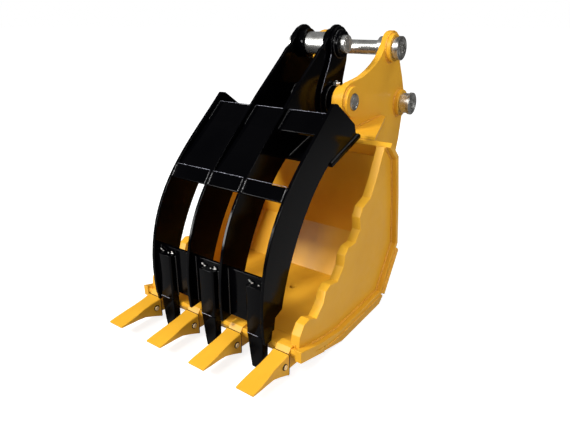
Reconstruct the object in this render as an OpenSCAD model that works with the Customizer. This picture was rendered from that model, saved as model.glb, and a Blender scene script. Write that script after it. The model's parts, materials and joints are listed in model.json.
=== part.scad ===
// Thumb bucket for an excavator: a four tooth digging bucket with a four tine hydraulic thumb
// hinged on its ears. Millimetres, +Z up, the mouth faces -Y, +X is the right hand side.
// Origin: on the ground, in the middle of the width and of the length.

/* [Bucket shell] */
// Length from the cutting edge to the back of the ears
bucket_length = 1146; // [1120:2:1170]
// Distance between the outer faces of the two side plates
bucket_width = 696; // [680:2:712]
// Thickness of the rolled and folded shell
shell_thickness = 20; // [16:1:22]
// How far the shell stands out past each side plate
shell_overhang = 22; // [16:1:28]
// Thickness of each side plate behind the cutter
side_plate_thickness = 16; // [12:1:20]
// Thickness of the scalloped side cutter welded inside the side plate
side_cutter_thickness = 18; // [14:1:22]
// Width of the side cutter behind its scalloped edge
side_cutter_width = 86; // [70:2:100]
// Thickness of the cutting edge that carries the teeth
lip_thickness = 35; // [30:1:38]
// Thickness of the wear strips under the floor
wear_strip_thickness = 35; // [30:1:35]
// Diameter of the two drain holes in the floor
drain_hole_diameter = 26; // [20:1:30]

/* [Teeth] */
// Distance from the outer face of a side plate to the middle of the end tooth
end_tooth_inset = 48; // [44:1:52]
// Width of a tooth
tooth_width = 66; // [60:1:70]
// Length of a tooth from tip to rear face
tooth_length = 189; // [180:1:196]
// Height of a tooth at its rear face
tooth_height = 63; // [58:1:66]
// Width of an adapter body
adapter_width = 54; // [50:1:58]
// Diameter of the cross pin that locks a tooth
tooth_pin_diameter = 20; // [16:1:22]

/* [Ears and pins] */
// Gap between the inner faces of the two ears
ear_gap = 288; // [284:1:294]
// Thickness of each ear
ear_thickness = 28; // [24:1:30]
// Radius of the ear behind the link pin
ear_head_radius = 68; // [64:1:70]
// Height of the thumb pivot pin above the ground
pivot_height = 798; // [780:1:820]
// Distance of the stick pin behind the thumb pivot
stick_pin_back = 334; // [328:1:340]
// Height of the stick pin above the thumb pivot
stick_pin_rise = 181; // [176:1:186]
// Distance of the link pin behind the thumb pivot
link_pin_back = 456; // [450:1:462]
// Drop of the link pin below the thumb pivot
link_pin_drop = 60; // [55:1:65]
// Diameter of the stick pin and of the link pin
pin_diameter = 60; // [55:1:64]
// Diameter of the thumb pivot pin
pivot_pin_diameter = 65; // [60:1:70]
// Outer diameter of the boss rings on the ears
boss_diameter = 116; // [112:1:120]
// Height of the stick and link boss rings over the ear
boss_height = 20; // [16:1:24]
// Height of the outer boss ring of the thumb pivot over the ear
pivot_boss_height = 14; // [10:1:18]
// Height of the inner boss ring of the thumb pivot, beside the hub
inner_boss_height = 26; // [22:1:28]
// Length of the loose spacer on the stick pin inside each ear
spacer_length = 20; // [16:1:26]
// Outer diameter of the pin collars
collar_diameter = 88; // [82:1:92]
// Length of a collar on the stick pin
stick_collar_length = 14; // [10:1:18]
// Length of a collar on the link pin
link_collar_length = 32; // [28:1:36]
// Diameter of the pin end caps
cap_diameter = 97; // [94:1:102]
// Thickness of a pin end cap
cap_thickness = 15; // [12:1:18]

/* [Thumb] */
// Thickness of each tine plate
tine_thickness = 12; // [10:1:14]
// Distance from the middle to the outer face of an outer tine
outer_tine_x = 254; // [248:1:258]
// Distance from the middle to the outer face of an inner tine
inner_tine_x = 80; // [78:1:82]
// Outer diameter of the thumb hub tube
hub_diameter = 110; // [104:1:116]
// Radius of an inner tine around the hub
hub_eye_radius = 95; // [90:1:98]
// Diameter of the thumb cylinder pin
cylinder_pin_diameter = 50; // [45:1:54]
// Radius of the lug around the cylinder pin
lug_head_radius = 70; // [66:1:74]
// Outer diameter of the boss rings and of the sleeve on the cylinder pin
lug_boss_diameter = 100; // [90:1:106]
// Thickness of the cross plates
cross_plate_thickness = 12; // [10:1:14]
// Thickness of the back plate
back_plate_thickness = 14; // [10:1:16]
// Width of a tip socket
tip_socket_width = 70; // [66:1:74]
// Width of the tongue of a tip blade inside its socket
tip_tongue_width = 50; // [46:1:54]
// Width of a tip blade at its end
tip_blade_width = 58; // [52:1:62]
// Depth of a tip socket from its face to the cross plate
tip_socket_depth = 26; // [24:1:27]
// Height of the blade ends above the ground
tip_ground_gap = 2; // [1:1:10]

/* [Clearances] */
// Running clearance between a pin and its bore, on the radius
pin_clearance = 0.05; // [0.02:0.01:0.09]
// Gap left where two welded pieces meet
seat_gap = 0.3; // [0.2:0.05:0.4]

/* [Hidden] */
paint = [0.86, 0.6, 0.16];
black = [0.07, 0.07, 0.075];
steel = [0.6, 0.6, 0.6];
g = seat_gap;

// the side view is drawn for a length of 1146 and a pivot height of 798, then stretched to the chosen ones
function side(pts) = [for (p = pts) [p[0] * bucket_length / 1146, p[1] * pivot_height / 798]];

// pin centres as [y, z]
pivot = side([[150, 798]])[0];
stick = pivot + [stick_pin_back, stick_pin_rise];
link = pivot + [link_pin_back, -link_pin_drop];
lug_eye = side([[192, 1004]])[0];

// half widths measured from the middle
side_out = bucket_width / 2;
side_mid = side_out - side_plate_thickness;
side_in = side_mid - side_cutter_thickness;
shell_out = side_out + shell_overhang;
ear_in = ear_gap / 2;
ear_out = ear_in + ear_thickness;
boss_out = ear_out + boss_height;
pivot_boss_out = ear_out + pivot_boss_height;
inner_boss_in = ear_in - inner_boss_height;
stick_collar_out = boss_out + stick_collar_length;
link_collar_out = boss_out + link_collar_length;

// Plane helpers, all in the side view [y, z]
function unit(v) = v / norm(v);
function outward(p, i) = let (d = unit(p[i + 1] - p[i])) [d[1], -d[0]];
function miter(p, i, t) =
  let (n = len(p) - 1, a = outward(p, max(i - 1, 0)), b = outward(p, min(i, n - 1)))
  p[i] + (a + b) * t / (1 + a * b);
function shifted(p, t) = [for (i = [0 : len(p) - 1]) miter(p, i, t)];
function back(p) = [for (i = [len(p) - 1 : -1 : 0]) p[i]];
function part(p, i, j) = [for (k = [i : j]) p[k]];
function band(p, i, j, t0, t1) = concat(part(shifted(p, t0), i, j), back(part(shifted(p, t1), i, j)));
function turned(v, a) = [v[0] * cos(a) - v[1] * sin(a), v[0] * sin(a) + v[1] * cos(a)];
function arc(c, r, a0, a1, n) = [
  for (i = [0 : n]) let (a = a0 + (a1 - a0) * i / n)
  c + r * [cos(a), sin(a)]
];
function curve(a, b, c, d, n) = [
  for (i = [0 : n]) let (t = i / n, s = 1 - t)
  a * s * s * s + b * 3 * s * s * t + c * 3 * s * t * t + d * t * t * t
];

module slab(x0, x1) {
  translate([x0, 0, 0])
    rotate([90, 0, 90])
      linear_extrude(height = x1 - x0)
        children();
}

module rod(c, x0, x1, d) {
  translate([x0, c[0], c[1]])
    rotate([0, 90, 0])
      cylinder(h = x1 - x0, d = d, $fn = 64);
}

module ring(c, x0, x1, d, bore) {
  difference() {
    rod(c, x0, x1, d);
    rod(c, x0 - 1, x1 + 1, bore);
  }
}

module flip() {
  mirror([1, 0, 0])
    children();
}

module both() {
  children();
  flip()
    children();
}

// Side view of the bucket: its inner line, from the cutting edge along the floor, round the heel and up
lip_front = side([[-472, 108]])[0];
lip_joint = side([[-342, 76]])[0];
floor_top = wear_strip_thickness + shell_thickness;
floor_front = [side([[-222, 0]])[0][0], floor_top];
floor_rear = [side([[108, 0]])[0][0], floor_top + 3];
heel = side([[180, 163], [225, 230]]);
wall = side([[194, 435], [161, 600], [96, 658]]);
line = concat([lip_front, lip_joint, floor_front, floor_rear], heel, wall);
back_top = wall[1];
top_front = wall[2];

// the cutting edge runs from its front along this slope to the weld seam of the floor
lip_u = unit(lip_joint - lip_front);
lip_n = [lip_u[1], -lip_u[0]];
lip_seam = lip_front + (lip_joint - lip_front) * 0.68;

// four scallops of the side cutter: valley, turn, size
bites = [
  [[4, 487], 0, 1.2],
  [[-98, 347], -18, 1],
  [[-218, 243], -32, 1],
  [[-352, 165], -46, 0.98]
];
bite_shape = [[0, 0], [-47, -16], [-64, -44], [-57, -85]];
function bite(b) = [for (q = bite_shape) b[0] + turned(q, b[1]) * b[2]];
seat_line = shifted(line, -g);
toe = seat_line[0] + (seat_line[1] - seat_line[0]) * 0.12;
scallop = concat([top_front + [-2, -4]],
  side(concat([[46, 552]], bite(bites[0]), bite(bites[1]), bite(bites[2]), bite(bites[3]))), [toe]);

module side_outline() {
  polygon(concat(scallop, part(seat_line, 1, 8)));
}

module floor_shell() {
  color(paint)
    difference() {
      slab(-shell_out, shell_out)
        polygon(concat([lip_seam + lip_u * g], band(line, 1, 7, 0, shell_thickness),
          [lip_seam + lip_u * g + lip_n * shell_thickness]));
      for (x = [-54, 54])
        translate([x, floor_front[0] + 158, 0])
          cylinder(h = 120, d = drain_hole_diameter, $fn = 32);
    }
}

module top_plate() {
  u = unit(top_front - back_top);
  p = [back_top + u * g, top_front];
  outer = shifted(line, shell_thickness);
  color(paint)
    slab(-shell_out, shell_out)
      polygon([p[0], p[1], outer[8], outer[7] + u * g]);
}

module side_plate_right() {
  color(paint)
    slab(side_mid, side_out)
      side_outline();
}

module side_plate_left() {
  flip()
    side_plate_right();
}

// the cutter follows the scallops in front, runs parallel to them behind and is cut round the end adapter
module side_cutter_right() {
  rear = side([[-246, 118], [-138, 186], [-32, 266], [46, 360], [100, 480]]);
  widen = [side_cutter_width - 86, 0];
  color(paint)
    difference() {
      slab(side_in, side_mid - g)
        polygon(concat(scallop, [seat_line[1], seat_line[1] + [43, 2] + widen], [for (p = rear) p + widen],
          [seat_line[8] * 0.55 + seat_line[7] * 0.45, seat_line[8]]));
      slab(side_in - 1, side_mid + 1)
        polygon(concat(shifted(adapter_top, -2 * g), [adapter_top[3] + [4, -1],
          adapter_top[3] + [4, -50], adapter_top[0] + [-1, -50]]));
    }
}

module side_cutter_left() {
  flip()
    side_cutter_right();
}

// the cutting edge, with a deeper bar outside each side plate
module lip_plate() {
  bar_rear = lip_joint + [10, 0];
  color(paint) {
    slab(-shell_out - 2, shell_out + 2)
      polygon([lip_front, lip_seam, lip_seam + lip_n * lip_thickness,
        lip_front + lip_n * lip_thickness + lip_u * 16, lip_front + lip_n * 14]);
    both()
      slab(side_out + g, shell_out + 2)
        polygon([lip_front + [-8, 9], lip_seam - lip_n * 3, lip_seam + lip_n * (shell_thickness + g),
          under_line[1], bar_rear + [0, -23 - g], bar_rear + [0, -44], lip_front + [-7, -34]]);
  }
}

// wear strips lie on the underside line, from behind the cutting edge to the heel
under_line = shifted(line, shell_thickness + g);
under_rear = [under_line[3][0], under_line[3][1]];
module strip_section() {
  p0 = under_line[1] + (under_line[2] - under_line[1]) * 0.16;
  polygon([p0, under_line[2], under_rear, [under_rear[0] + 18, 26], [under_rear[0] - 14, 0],
    [under_line[2][0] + 18, 0], p0 + [0, -22]]);
}

module corner_strip_right() {
  color(paint)
    slab(shell_out - 78, shell_out)
      strip_section();
}

module corner_strip_left() {
  flip()
    corner_strip_right();
}

module floor_strips() {
  color(paint)
    both()
      slab(70, 130)
        strip_section();
}

// guards on the rolled heel, standing out a little past the shell
module heel_guards() {
  a = under_line;
  u = unit(a[4] - a[3]);
  v = a[5] - a[4];
  o = shifted(line, shell_thickness + g + 14);
  start = a[3] + u * 6;
  color(paint)
    both()
      slab(shell_out - 78, shell_out + 8)
        polygon([start, a[4], a[4] + v * 0.75, o[4] + v * 0.68, o[4], start + [u[1], -u[0]] * 14]);
}

// Teeth and their adapters
tooth_pitch = (bucket_width - 2 * end_tooth_inset) / 3;
rear_y = lip_front[0] - 13;
tip_y = rear_y - tooth_length;
tooth_top = lip_front[1] - 10;
tooth_low = tooth_top - tooth_height;
lock = [rear_y - 26, tooth_top - 34];
adapter_top = [[rear_y, tooth_top - 2], [rear_y + 14, tooth_top + 14], [rear_y + 40, tooth_top + 16],
  [rear_y + 110, lip_front[1] - 16]];
lip_pocket = [lip_front - lip_u * g - lip_n * g, lip_front + lip_u * 200 - lip_n * g,
  lip_front + lip_u * 200 + lip_n * (lip_thickness + g),
  lip_front + lip_u * (16 - g) + lip_n * (lip_thickness + g), lip_front - lip_u * g + lip_n * 14];

// nose of an adapter and, grown by a gap, the pocket of a tooth
function nose(e) = [[rear_y - 0.5, tooth_top - 8 + e], [rear_y - 96 - e, tooth_top - 22 + e],
  [rear_y - 96 - e, tooth_low + 25 - e], [rear_y - 0.5, tooth_low + 8 - e]];

module adapter(x) {
  w = adapter_width / 2;
  color(paint)
    difference() {
      union() {
        slab(x - w, x + w)
          polygon(concat(adapter_top, [[rear_y + 112, lip_front[1] - 40], [rear_y + 86, tooth_low + 9],
            [rear_y + 46, tooth_low - 1], [rear_y, tooth_low + 2]]));
        slab(x - 19, x + 19)
          polygon(concat(nose(0), [[rear_y + 4, tooth_low + 8], [rear_y + 4, tooth_top - 8]]));
      }
      slab(x - w - 1, x + w + 1)
        polygon(lip_pocket);
      rod(lock, x - w - 1, x + w + 1, tooth_pin_diameter + 2 * pin_clearance);
    }
}

module tooth(x) {
  w = tooth_width / 2;
  color(paint)
    difference() {
      slab(x - w, x + w)
        polygon([[tip_y, tooth_top - 29], [rear_y - 0.4, tooth_top], [rear_y - 0.4, tooth_low],
          [rear_y - 46, tooth_low - 5], [tip_y + 34, tooth_top - 38], [tip_y, tooth_top - 33]]);
      slab(x - 19 - g, x + 19 + g)
        polygon(concat([[rear_y + 1, tooth_top - 8 + g]], nose(g), [[rear_y + 1, tooth_low + 8 - g]]));
      rod(lock, x - w - 1, x + w + 1, tooth_pin_diameter + 2 * pin_clearance);
    }
}

module tooth_pins() {
  color(steel)
    for (i = [0 : 3])
      rod(lock, (i - 1.5) * tooth_pitch - tooth_width / 2 - 6,
        (i - 1.5) * tooth_pitch + tooth_width / 2 + 6, tooth_pin_diameter);
}

module adapter_1() adapter(-1.5 * tooth_pitch);
module adapter_2() adapter(-0.5 * tooth_pitch);
module adapter_3() adapter(0.5 * tooth_pitch);
module adapter_4() adapter(1.5 * tooth_pitch);
module tooth_1() tooth(-1.5 * tooth_pitch);
module tooth_2() tooth(-0.5 * tooth_pitch);
module tooth_3() tooth(0.5 * tooth_pitch);
module tooth_4() tooth(1.5 * tooth_pitch);

// Ears that carry the pins
over = shifted(line, shell_thickness + g);
ear_shape = concat(
  [over[8]], side([[86, 728]]),
  arc(pivot, 72, 205, 130, 8),
  side([[134, 868], [186, 875], [240, 883], [300, 902], [350, 924], [386, 946], [414, 974]]),
  side([[440, 1004], [448, 1020], [463, 1035], [484, 1045], [510, 1048], [536, 1041], [556, 1027],
    [576, 985], [590, 915], [630, 846]]),
  arc(link, ear_head_radius, 24, -30, 5),
  side([[640, 560], [610, 478], [550, 400], [458, 342]]), [over[5] + [6, 74]],
  [over[6], over[7]]
);
module ear_right() {
  color(paint)
    difference() {
      slab(ear_in, ear_out)
        polygon(ear_shape);
      rod(stick, ear_in - 1, ear_out + 1, pin_diameter + 2 * pin_clearance);
      rod(link, ear_in - 1, ear_out + 1, pin_diameter + 2 * pin_clearance);
      rod(pivot, ear_in - 1, ear_out + 1, pivot_pin_diameter + 2 * pin_clearance);
    }
}

module ear_left() {
  flip()
    ear_right();
}

// webs that brace each ear from the front edge of the top plate, rising a little to the rear
web_y = over[8][0];
web_z = over[8][1] + g;
module ear_web_right() {
  color(paint)
    translate([0, web_y, web_z])
      rotate([3.4, 0, 0])
        linear_extrude(height = 14)
          polygon([[ear_out + g, 0], [shell_out - 68, 0], [shell_out - 74, 22], [ear_out + 24, 318],
            [ear_out + g, 318]]);
}

module ear_web_left() {
  flip()
    ear_web_right();
}

// web between the ears, behind the thumb hub
module ear_cross_web() {
  color(paint)
    translate([-ear_in + g, web_y + 12, web_z])
      cube([2 * (ear_in - g), 350, 14]);
}

module stick_bosses() {
  color(paint)
    both()
      ring(stick, ear_out + g, boss_out, boss_diameter, pin_diameter + 2 * pin_clearance);
}

module link_bosses() {
  color(paint)
    both()
      ring(link, ear_out + g, boss_out, boss_diameter, pin_diameter + 2 * pin_clearance);
}

// boss rings on both faces of each ear, the inner ones beside the thumb hub
module pivot_bosses() {
  bore = pivot_pin_diameter + 2 * pin_clearance;
  color(paint)
    both() {
      ring(pivot, ear_out + g, pivot_boss_out, boss_diameter, bore);
      ring(pivot, inner_boss_in, ear_in - g, boss_diameter, bore);
    }
}

// Pins of the bucket
module stick_pin() {
  color(steel)
    rod(stick, -stick_collar_out, stick_collar_out, pin_diameter);
}

module link_pin() {
  color(steel)
    rod(link, -link_collar_out, link_collar_out, pin_diameter);
}

module pivot_pin() {
  color(steel)
    rod(pivot, -pivot_boss_out - 4, pivot_boss_out + 4, pivot_pin_diameter);
}

module stick_spacers() {
  color(steel)
    both()
      ring(stick, ear_in - g - spacer_length, ear_in - g, collar_diameter + 4,
        pin_diameter + 2 * pin_clearance);
}

module stick_collars() {
  color(steel)
    both()
      ring(stick, boss_out + g, stick_collar_out, collar_diameter, pin_diameter + 2 * pin_clearance);
}

module link_collars() {
  color(steel)
    both()
      ring(link, boss_out + g, link_collar_out, collar_diameter, pin_diameter + 2 * pin_clearance);
}

module end_cap(c, x0) {
  difference() {
    rod(c, x0 + g, x0 + cap_thickness, cap_diameter);
    rod(c, x0 + cap_thickness - 4, x0 + cap_thickness + 1, 44);
  }
}

module stick_caps() {
  color(steel)
    both()
      end_cap(stick, stick_collar_out);
}

module link_caps() {
  color(steel)
    both()
      end_cap(link, link_collar_out);
}

module cap_bolts() {
  color(steel)
    both()
      for (c = [[stick, stick_collar_out], [link, link_collar_out]])
        translate([c[1] + cap_thickness - 4 + g, c[0][0], c[0][1]])
          rotate([0, 90, 0])
            cylinder(h = 7, d = 20, $fn = 6);
}

// Thumb: front line of a tine from its foot to the top corner, and its rear line from the back plate down
tine_front = side(curve([-516, 139], [-559, 526], [-322, 651], [-122, 833], 20));
back_edge = side([[66, 700], [-136, 632]]);
back_hi = back_edge[0];
back_lo = back_edge[1];
tine_rear = side(curve([-136, 632], [-264, 556], [-385, 356], [-416, 201], 12));
tine_foot = side([[-454, 187], [-460, 145]]);
inner_tine_in = inner_tine_x - tine_thickness;
outer_tine_in = outer_tine_x - tine_thickness;

module tine_outer_right() {
  color(black)
    slab(outer_tine_in, outer_tine_x)
      polygon(concat(tine_front, side([[-96, 829], [34, 741], [46, 706]]), [back_hi], tine_rear, tine_foot));
}

module tine_outer_left() {
  flip()
    tine_outer_right();
}

lug_front = side([[38, 962], [70, 990], [98, 1004], [118, 1025]]);
module tine_inner_right() {
  color(black)
    difference() {
      slab(inner_tine_in, inner_tine_x)
        polygon(concat(tine_front, lug_front, arc(lug_eye, lug_head_radius, 160, -16, 14),
          side([[254, 941], [240, 898], [230, 866]]), arc(pivot, hub_eye_radius, 30, -108, 14), [back_hi],
          tine_rear, tine_foot));
      rod(pivot, inner_tine_in - 1, inner_tine_x + 1, hub_diameter + 2 * g);
      rod(lug_eye, inner_tine_in - 1, inner_tine_x + 1, cylinder_pin_diameter + 2 * pin_clearance);
    }
}

module tine_inner_left() {
  flip()
    tine_inner_right();
}

// doubler on the outer side of a lug, from the cylinder pin down past the hub
module lug_doubler_right() {
  x0 = inner_tine_x + g;
  x1 = x0 + tine_thickness;
  color(black)
    difference() {
      slab(x0, x1)
        polygon(concat(arc(lug_eye, lug_head_radius - 6, 176, -16, 14),
          side([[248, 940], [234, 898], [224, 866]]), arc(pivot, hub_eye_radius - 6, 32, -100, 12),
          arc(pivot, hub_eye_radius - 1, 215, 178, 5),
          side(curve([58, 824], [70, 872], [112, 920], [127, 972], 6))));
      rod(pivot, x0 - 1, x1 + 1, hub_diameter + 2 * g);
      rod(lug_eye, x0 - 1, x1 + 1, cylinder_pin_diameter + 2 * pin_clearance);
    }
}

module lug_doubler_left() {
  flip()
    lug_doubler_right();
}

module hub_tube() {
  color(black)
    difference() {
      rod(pivot, 1 - inner_boss_in, inner_boss_in - 1, hub_diameter);
      rod(pivot, -ear_in, ear_in, pivot_pin_diameter + 2 * pin_clearance);
    }
}

lug_boss_in = inner_tine_x + tine_thickness + 2 * g;
lug_boss_out = lug_boss_in + 15;
module lug_bosses() {
  color(black)
    both()
      ring(lug_eye, lug_boss_in, lug_boss_out, lug_boss_diameter, cylinder_pin_diameter + 2 * pin_clearance);
}

// sleeve on the cylinder pin between the inner tines
module cylinder_pin_sleeve() {
  color(steel)
    ring(lug_eye, g - inner_tine_in, inner_tine_in - g, lug_boss_diameter,
      cylinder_pin_diameter + 2 * pin_clearance);
}

module cylinder_pin() {
  color(steel)
    rod(lug_eye, -lug_boss_out - 19, lug_boss_out + 19, cylinder_pin_diameter);
}

module cylinder_pin_caps() {
  color(steel)
    both()
      ring(lug_eye, lug_boss_out + g, lug_boss_out + 18, 66, cylinder_pin_diameter + 2 * pin_clearance);
}

// the three bays between the tines, as [x0, x1]
bays = [[-outer_tine_in + g, -inner_tine_x - g], [-inner_tine_in + g, inner_tine_in - g],
  [inner_tine_x + g, outer_tine_in - g]];
module in_bays() {
  for (b = bays)
    slab(b[0], b[1])
      children();
}

function plate(e, t) =
  let (u = unit(e[1] - e[0]), n = [-u[1], u[0]])
  [e[0], e[1], e[1] + n * t, e[0] + n * t];
module upper_cross_plates() {
  color(black)
    in_bays()
      polygon(plate(side([[-130, 799], [-198, 740]]), cross_plate_thickness));
}

module middle_cross_plates() {
  color(black)
    in_bays()
      polygon(plate(side([[-371, 607], [-402, 567]]), cross_plate_thickness));
}

lower_edge = side([[-480, 331], [-480, 151]]);
module lower_cross_plates() {
  color(black)
    in_bays()
      polygon(plate(lower_edge, cross_plate_thickness));
}

module back_plate() {
  n = unit([back_hi[1] - back_lo[1], -(back_hi[0] - back_lo[0])]);
  color(black)
    slab(-outer_tine_x - 8, outer_tine_x + 8)
      polygon([back_hi + n * g, back_lo + n * g, back_lo + n * (back_plate_thickness + g),
        back_hi + n * (back_plate_thickness + g)]);
}

// a tip is a bent socket plate welded to the lower cross plate and a blade with its tongue inside it
tip_x = outer_tine_in - g - tip_socket_width / 2;
tip_rear = lower_edge[0][0] - g;
tip_front = tip_rear - tip_socket_depth;
socket_low = lower_edge[1][1] - 20;
socket_high = lower_edge[0][1] - 24;
module tip_socket(x) {
  w = tip_socket_width / 2;
  color(black)
    translate([x, 0, socket_low])
      difference() {
        linear_extrude(height = socket_high - socket_low)
          polygon(concat([[-w, tip_rear]], arc([-w + 9, tip_front + 9], 9, 180, 270, 5),
            arc([w - 9, tip_front + 9], 9, 270, 360, 5), [[w, tip_rear]]));
        translate([-tip_tongue_width / 2 - g, tip_front + 9, -1])
          cube([tip_tongue_width + 2 * g, tip_socket_depth + 1, 150]);
      }
}

// the blade tapers below the socket and ends just above the ground
module tip_blade(x) {
  t = tip_tongue_width / 2;
  w = tip_socket_width / 2 - 2;
  e = tip_blade_width / 2;
  top = socket_low - g;
  color(black)
    translate([x, tip_rear - g, 0]) {
      rotate([90, 0, 0])
        linear_extrude(height = tip_socket_depth - g)
          polygon([[-w, top], [w, top], [e, top - 62], [e, tip_ground_gap + 5], [e - 5, tip_ground_gap],
            [5 - e, tip_ground_gap], [-e, tip_ground_gap + 5], [-e, top - 62]]);
      translate([-t, 9 + g - tip_socket_depth, top - 5])
        cube([2 * t, tip_socket_depth - 9 - g, 145]);
    }
}

module tip_socket_1() tip_socket(-tip_x);
module tip_socket_2() tip_socket(0);
module tip_socket_3() tip_socket(tip_x);
module tip_blade_1() tip_blade(-tip_x);
module tip_blade_2() tip_blade(0);
module tip_blade_3() tip_blade(tip_x);

// hexagon grease fittings on top of the hub, beside each doubler
module hub_grease_fittings() {
  x = (inner_tine_x + tine_thickness + inner_boss_in) / 2;
  color(steel)
    both()
      translate([x, pivot[0], pivot[1] + hub_diameter / 2 - 1]) {
        translate([0, 0, 1 + g])
          cylinder(h = 12, d = 20, $fn = 6);
        translate([0, 0, 13 + g])
          cylinder(h = 10, d = 10, $fn = 24);
      }
}

floor_shell();
top_plate();
side_plate_left();
side_plate_right();
side_cutter_left();
side_cutter_right();
lip_plate();
corner_strip_left();
corner_strip_right();
floor_strips();
heel_guards();
adapter_1();
adapter_2();
adapter_3();
adapter_4();
tooth_1();
tooth_2();
tooth_3();
tooth_4();
tooth_pins();
ear_left();
ear_right();
ear_web_left();
ear_web_right();
ear_cross_web();
stick_bosses();
link_bosses();
pivot_bosses();
stick_pin();
link_pin();
pivot_pin();
stick_spacers();
stick_collars();
link_collars();
stick_caps();
link_caps();
cap_bolts();
tine_outer_left();
tine_outer_right();
tine_inner_left();
tine_inner_right();
lug_doubler_left();
lug_doubler_right();
hub_tube();
lug_bosses();
cylinder_pin();
cylinder_pin_caps();
upper_cross_plates();
middle_cross_plates();
lower_cross_plates();
back_plate();
tip_socket_1();
tip_socket_2();
tip_socket_3();
tip_blade_1();
tip_blade_2();
tip_blade_3();
hub_grease_fittings();
cylinder_pin_sleeve();
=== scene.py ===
"""Looks of a digging bucket with a hinged thumb: eased plate edges, paint, turned steel and weld beads.

Metres, +Z up, the bucket's mouth faces -Y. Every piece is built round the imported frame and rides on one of
its bodies. Side view points are kept in millimetres as y, z.
"""

import json
import logging
import math
from dataclasses import dataclass, field
from enum import Enum

import bmesh
import bpy
import numpy as np
from mathutils import Matrix, Vector

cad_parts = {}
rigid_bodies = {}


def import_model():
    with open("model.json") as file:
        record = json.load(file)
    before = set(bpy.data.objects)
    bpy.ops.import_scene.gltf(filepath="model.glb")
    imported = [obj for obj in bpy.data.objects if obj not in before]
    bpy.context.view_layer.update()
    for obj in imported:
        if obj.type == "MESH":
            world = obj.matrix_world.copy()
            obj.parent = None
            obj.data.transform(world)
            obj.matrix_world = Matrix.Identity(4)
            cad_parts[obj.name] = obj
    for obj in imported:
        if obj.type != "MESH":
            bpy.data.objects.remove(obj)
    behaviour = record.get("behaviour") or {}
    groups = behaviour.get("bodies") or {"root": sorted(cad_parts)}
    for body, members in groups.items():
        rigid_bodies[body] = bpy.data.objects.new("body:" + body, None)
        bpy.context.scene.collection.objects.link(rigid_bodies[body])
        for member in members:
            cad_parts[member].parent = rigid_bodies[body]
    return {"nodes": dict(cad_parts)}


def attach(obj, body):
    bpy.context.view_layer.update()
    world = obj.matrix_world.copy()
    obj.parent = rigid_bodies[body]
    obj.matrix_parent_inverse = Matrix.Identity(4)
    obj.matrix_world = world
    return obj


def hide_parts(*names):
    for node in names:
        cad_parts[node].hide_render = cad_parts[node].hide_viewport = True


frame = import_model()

log = logging.getLogger("bucket")
MM = 0.001

# Angles in degrees: an edge is rounded over the first, shaded sharp over the second, or over the third on new
# surfaces, and neighbouring faces within the last are joined.
EASED_OVER = 28.0
SHARP_OVER = 32.0
NEW_SHARP_OVER = 38.0
FLAT_WITHIN = 0.6

Pair = tuple[float, float]
Spot = tuple[float, float, float]
Row = tuple[float, float, float, float, float]


class Coat(Enum):
    """The finishes of the object, each with the record's slot that it belongs to."""

    YELLOW = "yellow_paint"
    BLACK = "black_paint"
    STEEL = "pin_steel"


class Body(Enum):
    """The two bodies of the object."""

    BUCKET = "bucket"
    THUMB = "thumb"


def linear(red: int, green: int, blue: int) -> tuple[float, float, float, float]:
    """Turns a screen colour of 0 to 255 into the linear colour that shaders take.

    Args:
        red: red share.
        green: green share.
        blue: blue share.

    Returns:
        Linear red, green, blue and full alpha.
    """
    share = np.array([red, green, blue]) / 255
    bent = np.where(share <= 0.04045, share / 12.92, ((share + 0.055) / 1.055) ** 2.4)
    return (*bent.tolist(), 1.0)


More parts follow.
